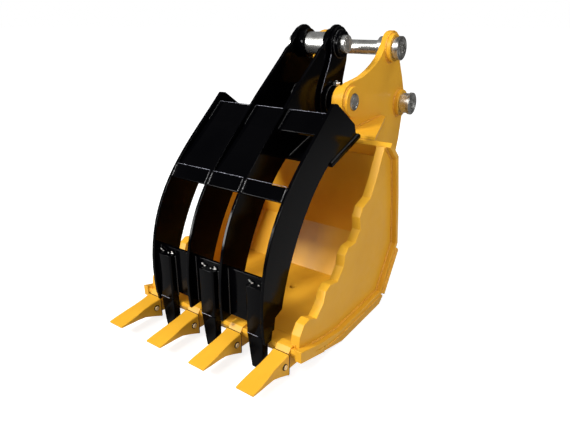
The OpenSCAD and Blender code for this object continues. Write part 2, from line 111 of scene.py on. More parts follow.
class Wiring:
    """A material's node tree, with short calls that add and join nodes."""

    def __init__(self, name: str) -> None:
        """Starts an empty material.

        Args:
            name: the material's name.
        """
        self.material = bpy.data.materials.new(name)
        self.material.use_nodes = True
        self.tree = self.material.node_tree
        self.tree.nodes.clear()
        self.output = self.add("ShaderNodeOutputMaterial")
        self.shader = self.add("ShaderNodeBsdfPrincipled")
        self.join(self.shader, "BSDF", self.output, "Surface")
        self.place = self.add("ShaderNodeTexCoord")

    def add(self, kind: str, **settings: object) -> bpy.types.Node:
        """Adds one node.

        Args:
            kind: the node's Blender type.
            settings: attributes set on the node.

        Returns:
            The node.
        """
        node = self.tree.nodes.new(kind)
        for key, value in settings.items():
            setattr(node, key, value)
        return node

    def join(self, start: bpy.types.Node, output: str, end: bpy.types.Node, socket: str | int) -> None:
        """Joins an output to an input.

        Args:
            start: node that gives the value.
            output: name of its output.
            end: node that takes the value.
            socket: name or number of its input.
        """
        self.tree.links.new(start.outputs[output], end.inputs[socket])

    def fix(self, node: bpy.types.Node, **values: object) -> None:
        """Sets fixed values on a node's inputs, with _ for a space in their names.

        Args:
            node: the node.
            values: input name and value.
        """
        for key, value in values.items():
            node.inputs[key.replace("_", " ")].default_value = value

    def noise(self, scale: float, detail: float = 2.0, rough: float = 0.5) -> bpy.types.Node:
        """Adds a noise on object coordinates.

        Args:
            scale: waves per metre.
            detail: octaves.
            rough: share of each finer octave.

        Returns:
            The noise node, whose Fac output runs from 0 to 1.
        """
        node = self.add("ShaderNodeTexNoise")
        self.fix(node, Scale=scale, Detail=detail, Roughness=rough)
        self.join(self.place, "Object", node, "Vector")
        return node

    def ramp(self, source: bpy.types.Node, output: str, low: float, high: float, dark: tuple,
             light: tuple) -> bpy.types.Node:
        """Adds a colour ramp from dark at low to light at high.

        Args:
            source: node that drives it.
            output: name of the driving output.
            low: position of the dark colour.
            high: position of the light colour.
            dark: colour below low.
            light: colour above high.

        Returns:
            The ramp node.
        """
        node = self.add("ShaderNodeValToRGB")
        ends = node.color_ramp.elements
        ends[0].position, ends[0].color = low, dark
        ends[1].position, ends[1].color = high, light
        self.join(source, output, node, "Fac")
        return node

    def bump(self, source: bpy.types.Node, output: str, strength: float, distance: float) -> None:
        """Feeds a bump from source into the shader's normal.

        Args:
            source: node that gives the height.
            output: name of its output.
            strength: share of the bump.
            distance: height of the bump in metres.
        """
        node = self.add("ShaderNodeBump")
        self.fix(node, Strength=strength, Distance=distance)
        self.join(source, output, node, "Height")
        self.join(node, "Normal", self.shader, "Normal")

    def gloss(self, source: bpy.types.Node, low: float, high: float) -> None:
        """Lets a noise drive the roughness between two values.

        Args:
            source: the noise.
            low: roughness where it is low.
            high: roughness where it is high.
        """
        ramp = self.ramp(source, "Fac", 0.35, 0.7, (low, low, low, 1), (high, high, high, 1))
        self.join(ramp, "Color", self.shader, "Roughness")


@dataclass(frozen=True)
class Paint:
    """Sprayed enamel: even colour with faint drift, orange peel and a low gloss."""

    name: str
    light: tuple[int, int, int]
    dark: tuple[int, int, int]
    roughness: float
    specular: float
    peel: float = 0.0003

    def material(self) -> bpy.types.Material:
        """Builds the paint.

        Returns:
            The material.
        """
        w = Wiring(self.name)
        tint = w.ramp(w.noise(5.0, 3.0, 0.55), "Fac", 0.3, 0.7, linear(*self.dark), linear(*self.light))
        w.join(tint, "Color", w.shader, "Base Color")
        w.gloss(w.noise(26.0, 4.0, 0.6), self.roughness * 0.85, self.roughness * 1.2)
        w.fix(w.shader, Specular_IOR_Level=self.specular)
        w.bump(w.noise(420.0, 2.0, 0.5), "Fac", 0.25, self.peel)
        return w.material


@dataclass(frozen=True)
class TurnedSteel:
    """Bare ground steel with fine rings round the X axis of the pins and darker smears of oil."""

    name: str
    light: tuple[int, int, int]
    dark: tuple[int, int, int]
    low: float
    high: float
    metallic: float

    def material(self) -> bpy.types.Material:
        """Builds the steel.

        Returns:
            The material.
        """
        w = Wiring(self.name)
        smear = w.noise(30.0, 5.0, 0.6)
        tint = w.ramp(smear, "Fac", 0.35, 0.65, linear(*self.dark), linear(*self.light))
        w.join(tint, "Color", w.shader, "Base Color")
        w.gloss(smear, self.low, self.high)
        w.fix(w.shader, Metallic=self.metallic)
        rings = w.add("ShaderNodeTexWave", wave_type="BANDS", bands_direction="X")
        w.fix(rings, Scale=260.0, Distortion=0.6)
        w.join(w.place, "Object", rings, "Vector")
        w.bump(rings, "Fac", 0.12, 0.0002)
        return w.material


@dataclass(frozen=True)
class RoughWeld:
    """Weld metal under or without paint: lumpy on the scale of its drops. The same finish also colours grey
    beads that paint edge highlights and black rings that paint the shade round the lock pins.
    """

    name: str
    light: tuple[int, int, int]
    dark: tuple[int, int, int]
    roughness: float
    metallic: float = 0.0

    def material(self) -> bpy.types.Material:
        """Builds the weld finish.

        Returns:
            The material.
        """
        w = Wiring(self.name)
        lumps = w.noise(150.0, 4.0, 0.65)
        tint = w.ramp(lumps, "Fac", 0.35, 0.65, linear(*self.dark), linear(*self.light))
        w.join(tint, "Color", w.shader, "Base Color")
        w.gloss(lumps, self.roughness * 0.8, self.roughness * 1.3)
        w.fix(w.shader, Metallic=self.metallic, Specular_IOR_Level=0.4)
        w.bump(lumps, "Fac", 0.6, 0.0012)
        return w.material


def join_flat(work: bmesh.types.BMesh) -> None:
    """Merges double points and joins neighbouring flat faces."""
    bmesh.ops.remove_doubles(work, verts=work.verts, dist=1e-5)
    bmesh.ops.dissolve_limit(work, angle_limit=math.radians(FLAT_WITHIN), verts=work.verts, edges=work.edges)


def face_outward(mesh: bpy.types.Mesh) -> None:
    """Merges a mesh's double points, which closes its poles, and turns its faces outward.

    Args:
        mesh: the mesh, changed in place.
    """
    work = bmesh.new()
    work.from_mesh(mesh)
    bmesh.ops.remove_doubles(work, verts=work.verts, dist=1e-6)
    bmesh.ops.recalc_face_normals(work, faces=work.faces)
    work.to_mesh(mesh)
    work.free()


def gathered(forms: list["Loft | Turned | Bead"]) -> tuple[np.ndarray, np.ndarray]:
    """Puts the surfaces of several forms into one pair of arrays.

    Args:
        forms: lofts, turned forms or beads.

    Returns:
        Points, n by 3, and quads, m by 4.
    """
    points, quads, count = [], [], 0
    for form in forms:
        new_points, new_quads = form.grid()
        points.append(new_points)
        quads.append(new_quads + count)
        count += len(new_points)
    return np.concatenate(points), np.concatenate(quads)


@dataclass
class Workshop:
    """The finishes in use, and the calls that every sub-assembly builds its pieces with."""

    coats: dict[Coat, bpy.types.Material]
    welds: dict[Coat, bpy.types.Material]
    cap_steel: bpy.types.Material
    # Pale tan finish of the lock pin ends, lightened as a painted highlight.
    lock_steel_painted_highlight: bpy.types.Material
    # Grey metallic finish of beads that paint highlights along edges.
    edge_glint: bpy.types.Material

    def keep(self, name: str, mesh: bpy.types.Mesh, body: Body, coat: Coat) -> bpy.types.Object:
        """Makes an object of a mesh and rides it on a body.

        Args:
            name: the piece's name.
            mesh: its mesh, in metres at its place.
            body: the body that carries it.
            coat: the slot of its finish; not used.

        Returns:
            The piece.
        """
        piece = bpy.data.objects.new(name, mesh)
        bpy.context.scene.collection.objects.link(piece)
        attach(piece, body.value)
        return piece

    def copied(self, nodes: tuple[str, ...]) -> bmesh.types.BMesh:
        """Copies CAD nodes to one merged mesh, its flat faces joined to single faces.

        Args:
            nodes: names of the CAD nodes.

        Returns:
            The mesh, which the caller frees.
        """
        work = bmesh.new()
        for node in nodes:
            work.from_mesh(frame["nodes"][node].data)
        join_flat(work)
        return work

    def ease(self, piece: bpy.types.Object, width: float, segments: int) -> None:
        """Rounds every sharp edge of a piece.

        Args:
            piece: the piece.
            width: width of the rounded edge in metres.
            segments: faces across it.
        """
        piece.data.shade_smooth()
        piece.data.set_sharp_from_angle(angle=math.radians(SHARP_OVER))
        bevel = piece.modifiers.new("edges", "BEVEL")
        bevel.width = width
        bevel.segments = segments
        bevel.limit_method = "ANGLE"
        bevel.angle_limit = math.radians(EASED_OVER)
        bevel.harden_normals = True

    def eased(self, node: str, body: Body, coat: Coat, width: float, segments: int = 2) -> None:
        """Stands for a CAD node with a copy whose sharp edges are rounded.

        Args:
            node: the CAD node's name.
            body: the body that carries it.
            coat: its finish.
            width: width of the rounded edge in metres.
            segments: faces across the edge.
        """
        mesh = bpy.data.meshes.new(f"{node}_eased")
        work = self.copied((node,))
        work.to_mesh(mesh)
        work.free()
        mesh.materials.append(self.coats[coat])
        piece = self.keep(f"{node}_eased", mesh, body, coat)
        self.ease(piece, width, segments)
        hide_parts(node)
        log.info("%s: %d faces", piece.name, len(mesh.polygons))

    def surface(self, name: str, points: np.ndarray, quads: np.ndarray) -> bpy.types.Mesh:
        """Puts arrays of points and quads into a mesh.

        Args:
            name: the mesh's name.
            points: n by 3, metres.
            quads: m by 4 point numbers, turning anticlockwise seen from outside.

        Returns:
            The mesh, smooth.
        """
        mesh = bpy.data.meshes.new(name)
        mesh.vertices.add(len(points))
        mesh.vertices.foreach_set("co", points.astype(np.float32).ravel())
        mesh.loops.add(quads.size)
        mesh.loops.foreach_set("vertex_index", quads.astype(np.int32).ravel())
        mesh.polygons.add(len(quads))
        mesh.polygons.foreach_set("loop_start", np.arange(0, quads.size, 4, dtype=np.int32))
        mesh.update(calc_edges=True)
        mesh.validate()
        mesh.shade_smooth()
        return mesh

    def shaped(self, name: str, forms: list["Loft | Turned"], body: Body, coat: Coat,
               finish: bpy.types.Material, *nodes: str) -> None:
        """Makes one piece of several lofts or turned forms, closed at their poles and with faces outward.

        Args:
            name: the piece's name.
            forms: the forms.
            body: the body that carries them.
            coat: the slot they belong to.
            finish: their material.
            nodes: CAD nodes that the piece stands for.
        """
        mesh = self.surface(name, *gathered(forms))
        face_outward(mesh)
        mesh.set_sharp_from_angle(angle=math.radians(NEW_SHARP_OVER))
        mesh.materials.append(finish)
        piece = self.keep(name, mesh, body, coat)
        for node in nodes:
            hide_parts(node)
        log.info("%s: %d faces", name, len(mesh.polygons))

    def beads(self, name: str, lines: list["Bead"], body: Body, coat: Coat,
              finish: bpy.types.Material) -> None:
        """Makes one piece of several weld beads.

        Args:
            name: the piece's name.
            lines: the beads.
            body: the body that carries them.
            coat: the slot they belong to.
            finish: their material.
        """
        mesh = self.surface(name, *gathered(lines))
        mesh.materials.append(finish)
        self.keep(name, mesh, body, coat)
        log.info("%s: %d beads, %d faces", name, len(lines), len(mesh.polygons))


@dataclass
class Loft:
    """A bar with rounded square sections that change along it."""

    axis: int
    rows: tuple[Row, ...]
    square: float
    sides: int
    steps: int
    rim: float = 0.93
    rim_depth: float = 0.8

    def grid(self) -> tuple[np.ndarray, np.ndarray]:
        """Works out the bar's surface.

        Each row holds a place along the axis and the two ranges of the section there, in millimetres, and
        the ranges between rows are interpolated. A point of a section is its middle plus the half ranges
        times cos a and sin a, both raised to 2 over the squareness with their signs kept. At each end the
        section narrows to the rim over the rim's depth, and then closes in a middle point.

        Returns:
            Points, n by 3, and quads, m by 4.
        """
        table = np.array(self.rows)
        t = np.linspace(0, 1, self.steps)
        place = table[0, 0] + (table[-1, 0] - table[0, 0]) * t
        order = np.argsort(table[:, 0])
        spans = [np.interp(place, table[order, 0], table[order, k]) for k in range(1, 5)]
        grow = np.ones(self.steps)
        place = np.concatenate([place[:1], place[:1], place, place[-1:], place[-1:]])
        grow = np.concatenate([[0.0, self.rim], grow, [self.rim, 0.0]])
        place[1:3] += np.array([0.0, self.rim_depth]) * np.sign(place[-1] - place[0])
        place[-3:-1] -= np.array([self.rim_depth, 0.0]) * np.sign(place[-1] - place[0])
        a0, a1, b0, b1 = (np.concatenate([v[:1], v[:1], v, v[-1:], v[-1:]]) for v in spans)
        a = np.linspace(0, 2 * np.pi, self.sides, endpoint=False)
        bend = 2.0 / self.square
        across = np.sign(np.cos(a)) * np.abs(np.cos(a)) ** bend
        upward = np.sign(np.sin(a)) * np.abs(np.sin(a)) ** bend
        first = ((a0 + a1) / 2)[:, None] + ((a1 - a0) / 2 * grow)[:, None] * across
        second = ((b0 + b1) / 2)[:, None] + ((b1 - b0) / 2 * grow)[:, None] * upward
        along = np.repeat(place[:, None], self.sides, axis=1)
        others = [k for k in range(3) if k != self.axis]
        points = np.zeros((len(place), self.sides, 3))
        points[..., self.axis], points[..., others[0]], points[..., others[1]] = along, first, second
        quads = ring_quads(len(place), self.sides, False)
        return points.reshape(-1, 3) * MM, quads


@dataclass
class Turned:
    """A piece turned round an axis along X: a profile of place and radius carried round the axis."""

    profile: tuple[Pair, ...]
    centre: Pair
    sides: int = 56

    def grid(self) -> tuple[np.ndarray, np.ndarray]:
        """Works out the turned surface: a point is the axis plus its radius times cos a and sin a.

        Returns:
            Points, n by 3, and quads, m by 4.
        """
        line = np.array(self.profile, dtype=float)
        a = np.linspace(0, 2 * np.pi, self.sides, endpoint=False)
        points = np.zeros((len(line), self.sides, 3))
        points[..., 0] = line[:, :1]
        points[..., 1] = self.centre[0] + line[:, 1:] * np.cos(a)
        points[..., 2] = self.centre[1] + line[:, 1:] * np.sin(a)
        return points.reshape(-1, 3) * MM, ring_quads(len(line), self.sides, False)


def ring_quads(rows: int, sides: int, closed: bool) -> np.ndarray:
    """Joins rows of rings to quads.

    Args:
        rows: number of rings.
        sides: points on a ring.
        closed: whether the last ring joins the first.

    Returns:
        Quads, m by 4.
    """
    i = np.arange(rows if closed else rows - 1)
    j = np.arange(sides)
    here, on = i[:, None] * sides, ((i + 1) % rows)[:, None] * sides
    side = (j[None, :] + 1) % sides
    return np.stack([here + j, here + side, on + side, on + j], axis=2).reshape(-1, 4)


@dataclass
class Bead:
    """A weld bead: a round section carried along a path, with the ripples of its drops."""

    path: np.ndarray
    radius: float = 3.5 * MM
    pitch: float = 7.0 * MM
    sides: int = 8
    closed: bool = False

    def stations(self) -> tuple[np.ndarray, np.ndarray]:
        """Spreads stations evenly along the path.

        Returns:
            The stations, n by 3, and their distances along the path.
        """
        corners = np.vstack([self.path, self.path[:1]]) if self.closed else self.path
        along = np.concatenate([[0.0], np.cumsum(np.linalg.norm(np.diff(corners, axis=0), axis=1))])
        count = max(4, int(round(along[-1] / (self.pitch / 3))))
        s = np.linspace(0.0, along[-1], count, endpoint=not self.closed)
        return np.stack([np.interp(s, along, corners[:, axis]) for axis in range(3)], axis=1), s

    def grid(self) -> tuple[np.ndarray, np.ndarray]:
        """Works out the bead's surface.

        A point is its station plus the radius times cos a along one square direction and sin a along the
        other. The radius falls by a fifth over each drop and starts again at the next, it wavers by some
        percent so that no two drops are alike, and it shrinks to nothing at open ends.

        Returns:
            Points, n by 3, and quads, m by 4.
        """
        centre, s = self.stations()
        ahead = np.roll(centre, -1, axis=0) - np.roll(centre, 1, axis=0)
        if not self.closed:
            ahead[0], ahead[-1] = centre[1] - centre[0], centre[-1] - centre[-2]
        ahead /= np.linalg.norm(ahead, axis=1)[:, None]
        across = np.eye(3)[np.argmin(np.abs(ahead).max(axis=0))]
        first = across - (ahead @ across)[:, None] * ahead
        first /= np.linalg.norm(first, axis=1)[:, None]
        second = np.cross(ahead, first)
        wobble = 1.0 + 0.08 * np.sin(s / (self.pitch * 2.7)) + 0.05 * np.sin(s / (self.pitch * 1.13) + 1.0)
        size = self.radius * (1.0 - 0.22 * ((s / self.pitch) % 1.0)) * wobble
        if not self.closed:
            end = np.minimum(s, s[-1] - s) / (1.2 * self.radius)
            size = size * np.sqrt(np.clip(1.0 - (1.0 - np.clip(end, 0.0, 1.0)) ** 2, 1e-6, 1.0))
        a = np.linspace(0.0, 2 * np.pi, self.sides, endpoint=False)
        ring = np.cos(a)[None, :, None] * first[:, None, :] + np.sin(a)[None, :, None] * second[:, None, :]
        points = centre[:, None, :] + size[:, None, None] * ring
        return points.reshape(-1, 3), ring_quads(len(s), self.sides, self.closed)


def at_x(x: float, points: list | np.ndarray) -> np.ndarray:
    """Returns side view points in millimetres as points in metres on the plane at x millimetres."""
    flat = np.asarray(points, dtype=float)
    return np.column_stack([np.full(len(flat), x), flat[:, 0], flat[:, 1]]) * MM


def through(*spots: Spot) -> np.ndarray:
    """Returns points given in millimetres as a path in metres."""
    return np.array(spots, dtype=float) * MM


def mirrored(lines: list[Bead]) -> list[Bead]:
    """Returns the beads and their images on the other side of the middle."""
    flip = np.array([-1.0, 1.0, 1.0])
    return lines + [Bead(b.path * flip, b.radius, b.pitch, b.sides, b.closed) for b in lines]


def circle(x: float, centre: Pair, radius: float, count: int = 72) -> np.ndarray:
    """Returns a circle round a pin's axis.

    Args:
        x: its plane, millimetres.
        centre: y, z of the axis, millimetres.
        radius: millimetres.
        count: points on it.

    Returns:
        Points in metres: centre plus radius times cos a and sin a.
    """
    a = np.linspace(0, 2 * np.pi, count, endpoint=False)
    return at_x(x, np.column_stack([centre[0] + radius * np.cos(a), centre[1] + radius * np.sin(a)]))


@dataclass
class SideLine:
    """The bucket's inner line in the side view, from the cutting edge round the heel to the top plate."""

    points: np.ndarray = field(default_factory=lambda: np.array([
        [-472, 108], [-342, 76], [-222, 55], [108, 58], [180, 163], [225, 230], [194, 435], [161, 600],
        [96, 658]], dtype=float))

    def shifted(self, t: float) -> np.ndarray:
        """Moves the line outwards by t, with mitred corners.

        Args:
            t: millimetres.

        Returns:
            The moved points.
        """
        step = np.diff(self.points, axis=0)
        step /= np.linalg.norm(step, axis=1)[:, None]
        out = np.column_stack([step[:, 1], -step[:, 0]])
        before, after = np.vstack([out[:1], out]), np.vstack([out, out[-1:]])
        return self.points + (before + after) * t / (1 + (before * after).sum(axis=1))[:, None]


@dataclass
class BucketShell:
    """Shell, top plate, scalloped sides and cutting edge."""

    shop: Workshop
    line: SideLine
    shell: float = 20.0
    shell_out: float = 370.0
    side_out: float = 348.0
    side_in: float = 314.0
    cutter_out: float = 331.7
    cutter_moved: float = 334.0
    toe_near: float = 315.0
    toe_far: float = 336.0
    lip_share: float = 0.68
    toe_fill: tuple[Pair, ...] = (
        (-457, 103.6), (-375, 84.2), (-372, 93), (-420, 108), (-446, 116), (-458, 115))

    def build(self) -> None:
        """Builds and dresses the shell."""
        for node in ("floor_shell", "top_plate"):
            self.shop.eased(node, Body.BUCKET, Coat.YELLOW, 2.0 * MM)
        self.shop.eased("lip_plate", Body.BUCKET, Coat.YELLOW, 3.0 * MM, 3)
        for side, sign in (("right", 1.0), ("left", -1.0)):
            self.side(side, sign)
        self.welds()

    def side(self, side: str, sign: float) -> None:
        """Joins a side plate and its cutter to one scalloped plate.

        The cutter's copy is moved out to touch the plate, the low corner cut round the end adapter is
        filled, and the solids are united.

        Args:
            side: right or left.
            sign: 1 on the right, -1 on the left.
        """
        parts = []
        for node in (f"side_plate_{side}", f"side_cutter_{side}"):
            mesh = bpy.data.meshes.new(node)
            work = self.shop.copied((node,))
            work.to_mesh(mesh)
            work.free()
            spots = np.empty(len(mesh.vertices) * 3, dtype=np.float32)
            mesh.vertices.foreach_get("co", spots)
            spots = spots.reshape(-1, 3)
            outer = np.abs(np.abs(spots[:, 0]) - self.cutter_out * MM) < 0.2 * MM
            spots[outer, 0] = sign * self.cutter_moved * MM
            mesh.vertices.foreach_set("co", spots.ravel())
            parts.append(bpy.data.objects.new(node, mesh))
        mesh = self.union(parts[0], parts[1])
        mesh.name = f"side_{side}_joined"
        mesh.materials.clear()
        mesh.materials.append(self.shop.coats[Coat.YELLOW])
        piece = self.shop.keep(f"side_{side}_joined", mesh, Body.BUCKET, Coat.YELLOW)
        self.shop.ease(piece, 2.0 * MM, 2)
        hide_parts(f"side_plate_{side}", f"side_cutter_{side}")
        self.toe(side, sign)
        log.info("%s: %d faces", piece.name, len(mesh.polygons))

    def union(self, first: bpy.types.Object, second: bpy.types.Object) -> bpy.types.Mesh:
        """Unites two solids.

        Args:
            first: one solid, removed afterwards.
            second: the other, removed afterwards.

        Returns:
            The mesh of both, its flat faces joined.
        """
        scene = bpy.context.scene.collection.objects
        scene.link(first)
        scene.link(second)
        cut = first.modifiers.new("unite", "BOOLEAN")
        cut.operation = "UNION"
        cut.solver = "EXACT"
        cut.object = second
        bpy.context.view_layer.update()
        whole = bpy.data.meshes.new_from_object(first.evaluated_get(bpy.context.evaluated_depsgraph_get()))
        bpy.data.objects.remove(first)
        bpy.data.objects.remove(second)
        work = bmesh.new()
        work.from_mesh(whole)
        join_flat(work)
        work.to_mesh(whole)
        work.free()
        return whole

    def toe(self, side: str, sign: float) -> None:
        """Fills the low corner of the cutter with weld metal, as a block between two planes.

        Args:
            side: right or left.
            sign: 1 on the right, -1 on the left.
        """
        near = at_x(sign * self.toe_near, self.toe_fill)
        far = at_x(sign * self.toe_far, self.toe_fill)
        count = len(near)
        here = np.arange(count)
        on = (here + 1) % count
        walls = np.stack([here, here + count, on + count, on], axis=1)
        faces = [list(range(count)), list(range(2 * count - 1, count - 1, -1)), *walls.tolist()]
        mesh = bpy.data.meshes.new(f"toe_{side}")
        mesh.from_pydata(np.concatenate([near, far]).tolist(), [], faces)
        face_outward(mesh)
        mesh.materials.append(self.shop.coats[Coat.YELLOW])
        self.shop.ease(self.shop.keep(f"toe_{side}", mesh, Body.BUCKET, Coat.YELLOW), 1.5 * MM, 2)

    def welds(self) -> None:
        """Lays the beads between the sides, the shell and the cutting edge."""
        inner = self.line.shifted(-1.0)
        top, bend = self.line.points[0], self.line.points[1]
        seam = top + (bend - top) * self.lip_share
        run = np.vstack([seam + (0, 1), inner[1:9]])
        lines = [
            Bead(at_x(self.side_out + 1.5, run), 4.5 * MM, 8 * MM),
            Bead(at_x(self.side_in - 1.5, run), 4.0 * MM, 8 * MM),
            Bead(at_x(self.side_out + 1.5, [top + (8, 0), seam]), 4.0 * MM, 7 * MM),
        ]
        outer = self.line.shifted(self.shell)
        across = through((-self.shell_out + 2, *outer[7]), (self.shell_out - 2, *outer[7]))
        self.shop.beads("shell_welds", mirrored(lines) + [Bead(across, 2.5 * MM)], Body.BUCKET, Coat.YELLOW,
                        self.shop.welds[Coat.YELLOW])


@dataclass
class WearParts:
    """Strips under the floor and guards on the heel."""

    shop: Workshop
    line: SideLine
    shell: float = 20.0
    guard: float = 34.0
    shell_out: float = 370.0
    strip_in: float = 292.0

    def build(self) -> None:
        """Builds and dresses the wear parts."""
        for node in ("corner_strip_left", "corner_strip_right", "floor_strips", "heel_guards"):
            self.shop.eased(node, Body.BUCKET, Coat.YELLOW, 3.0 * MM, 3)
        outer = self.line.shifted(self.shell)
        heel = self.line.shifted(self.guard)
        rise = outer[5] - outer[4]
        end = outer[4] + rise * 0.72
        foot = heel[3] + (2, 0)
        floor = [outer[2] + (-90, 6), outer[2], outer[3] + (-4, 0)]
        lines = [
            Bead(at_x(self.shell_out + 1.0, floor), 3.5 * MM, 9 * MM),
            Bead(at_x(self.shell_out + 1.5, [outer[3] + (4, 4), outer[4], end]), 3.5 * MM, 9 * MM),
            Bead(at_x(self.strip_in - 0.5, [outer[4], outer[4] + rise * 0.7]), 3.0 * MM),
            Bead(through((self.strip_in, *end), (self.shell_out + 7.0, *end)), 3.5 * MM),
            Bead(through((self.strip_in, *foot), (self.shell_out + 2.0, *foot)), 3.5 * MM),
        ]
        self.shop.beads("wear_welds", mirrored(lines), Body.BUCKET, Coat.YELLOW, self.shop.welds[Coat.YELLOW])


@dataclass
class Teeth:
    """Adapters on the cutting edge, teeth on their noses and the pins that lock them."""

    shop: Workshop
    line: SideLine
    pitch: float = 200.0
    half_width: float = 27.0
    lip_share: float = 0.75
    lock: Pair = (-511.0, 64.0)
    lock_end: float = 31.0
    end_face: tuple[Pair, ...] = ((0, 0), (0, 8.4), (5, 8.4), (6.2, 7.2), (6.6, 4), (6.6, 0))
    # Black ring round each pin end that paints the shade of its recess.
    recess_shade_face: tuple[Pair, ...] = ((0, 9.0), (0, 11.2), (2.8, 11.2), (3.4, 10.8), (3.4, 9.6), (0, 9.0))
    form: tuple[tuple[float, float, float, float], ...] = (
        (-674.0, 34.0, 63.5, 69.0), (-640.0, 34.5, 60.5, 74.0), (-600.0, 33.0, 56.0, 80.0),
        (-565.0, 30.0, 48.5, 85.8), (-530.0, 30.0, 34.5, 91.0), (-505.0, 31.5, 23.5, 95.0),
        (-489.0, 33.0, 16.5, 98.0))
    seam: tuple[Row, ...] = ((-489.8, -33.5, 33.5, 16.0, 98.7), (-486.4, -33.5, 33.5, 16.0, 98.7))

    def tooth(self, number: int) -> None:
        """Forges one tooth: flared at the tip, waisted in the middle and deep at the rear.

        Args:
            number: 1 to 4 from the left.
        """
        x = (number - 2.5) * self.pitch
        rows = tuple((y, x - half, x + half, low, high) for y, half, low, high in self.form)
        self.shop.shaped(f"tooth_{number}_forged", [Loft(1, rows, 12.0, 48, 40)], Body.BUCKET, Coat.YELLOW,
                         self.shop.coats[Coat.YELLOW], f"tooth_{number}")

    def pins(self) -> None:
        """Turns the domed ends of the lock pins, pale tan as a painted highlight, and the black rings round
        them, which paint the shade of the recess round each end.
        """
        ends, recess_shades = [], []
        for number in range(4):
            for sign in (-1, 1):
                x = (number - 1.5) * self.pitch + sign * self.lock_end
                face = tuple((x + sign * out, r) for out, r in self.end_face)
                ends.append(Turned(face, self.lock, 28))
                face = tuple((x + sign * out, r) for out, r in self.recess_shade_face)
                recess_shades.append(Turned(face, self.lock, 28))
        # The pale tan of the ends paints their highlight.
        self.shop.shaped("tooth_pin_ends", ends, Body.BUCKET, Coat.STEEL, self.shop.lock_steel_painted_highlight, "tooth_pins")
        # Black rings that paint the shade of the recess round each pin end.
        self.shop.shaped("tooth_pin_recess_shades", recess_shades, Body.BUCKET, Coat.BLACK, self.shop.welds[Coat.BLACK])

    def build(self) -> None:
        """Builds and dresses the teeth."""
        seams = []
        for number in range(1, 5):
            self.shop.eased(f"adapter_{number}", Body.BUCKET, Coat.YELLOW, 2.5 * MM, 3)
            self.tooth(number)
            x = (number - 2.5) * self.pitch
            rows = tuple((y, x + a, x + b, low, high) for y, a, b, low, high in self.seam)
            seams.append(Loft(1, rows, 12.0, 40, 6))
        self.shop.shaped("tooth_seams", seams, Body.BUCKET, Coat.BLACK, self.shop.welds[Coat.BLACK])
        self.pins()
        top, bend = self.line.points[0], self.line.points[1]
        back = top + (bend - top) * self.lip_share
        inner, outer = 0.5 * self.pitch, 1.5 * self.pitch
        places = (inner - self.half_width, inner + self.half_width, outer - self.half_width)
        lines = [Bead(at_x(place, [top + (3, 1), back + (0, 1)]), 1.8 * MM) for place in places]
        self.shop.beads("adapter_welds", mirrored(lines), Body.BUCKET, Coat.YELLOW,
                        self.shop.welds[Coat.YELLOW])


@dataclass
class Ears:
    """The two ears with their webs and boss rings."""

    shop: Workshop
    line: SideLine
    ear_in: float = 144.0
    ear_out: float = 172.0
    pivot: Pair = (150.0, 798.0)
    stick: Pair = (484.0, 979.0)
    link: Pair = (606.0, 738.0)
    boss: float = 58.0
    web: float = 690.0
    web_slope: float = 3.4

    def build(self) -> None:
        """Builds and dresses the ears."""
        for node in ("ear_left", "ear_right"):
            self.shop.eased(node, Body.BUCKET, Coat.YELLOW, 2.5 * MM, 3)
        for node in ("ear_web_left", "ear_web_right", "ear_cross_web"):
            self.shop.eased(node, Body.BUCKET, Coat.YELLOW, 1.5 * MM)
        for node in ("stick_bosses", "link_bosses", "pivot_bosses"):
            self.shop.eased(node, Body.BUCKET, Coat.YELLOW, 2.5 * MM, 3)
        out, foot = self.ear_out + 1.0, self.line.shifted(20.5)
        rings = [circle(out, centre, self.boss + 1.0) for centre in (self.pivot, self.stick, self.link)]
        rings.append(circle(self.ear_in - 1.0, self.pivot, self.boss + 1.0))
        lines = [Bead(ring, 4.0 * MM, 7 * MM, closed=True) for ring in rings]
        seat = [foot[8] + (4, 3), foot[7], foot[6], foot[5] + (2, 70)]
        lines += [Bead(at_x(x, seat), 5.0 * MM, 8 * MM) for x in (out + 1, self.ear_in - 2)]
        rise = 300 * math.tan(math.radians(self.web_slope))
        lines.append(Bead(at_x(out + 1, [(124, self.web), (424, self.web + rise)]), 4.0 * MM))
        lines.append(Bead(at_x(self.ear_in - 2, [(126, self.web), (470, self.web)]), 4.0 * MM))
        self.shop.beads("ear_welds", mirrored(lines), Body.BUCKET, Coat.YELLOW, self.shop.welds[Coat.YELLOW])


@dataclass
class Pins:
    """The bucket's three pins with their spacers, collars, caps and bolts."""

    shop: Workshop
    caps: tuple[tuple[str, Pair, float], ...] = (
        ("stick_caps", (484.0, 979.0), 206.0), ("link_caps", (606.0, 738.0), 224.0))
    cap_face: tuple[Pair, ...] = (
        (0.3, 0), (0.3, 46.5), (2.0, 48.5), (13.2, 48.5), (15.0, 46.6), (15.0, 37.0), (13.2, 35.4),
        (13.2, 31.0), (15.0, 29.4), (15.0, 23.4), (13.6, 22.0), (11.0, 22.0), (11.0, 0))
    pivot: Pair = (150.0, 798.0)
    pivot_face: tuple[Pair, ...] = (
        (0, 0), (0, 32.5), (187.6, 32.5), (190.0, 30.2), (190.0, 25.0), (186.6, 23.6), (186.6, 19.0),
        (188.6, 17.4), (188.6, 0))

    def build(self) -> None:
        """Builds and dresses the pins."""
        for node in ("stick_pin", "link_pin", "stick_spacers", "stick_collars", "link_collars"):
            self.shop.eased(node, Body.BUCKET, Coat.STEEL, 1.5 * MM)
        self.shop.eased("cap_bolts", Body.BUCKET, Coat.STEEL, 0.6 * MM)
        for node, centre, start in self.caps:
            forms = [Turned(tuple((sign * (start + x), r) for x, r in self.cap_face), centre)
                     for sign in (-1, 1)]
            self.shop.shaped(f"{node}_turned", forms, Body.BUCKET, Coat.STEEL, self.shop.cap_steel, node)
        forms = [Turned(tuple((sign * x, r) for x, r in self.pivot_face), self.pivot) for sign in (-1, 1)]
        self.shop.shaped("pivot_pin_turned", forms, Body.BUCKET, Coat.STEEL, self.shop.cap_steel, "pivot_pin")


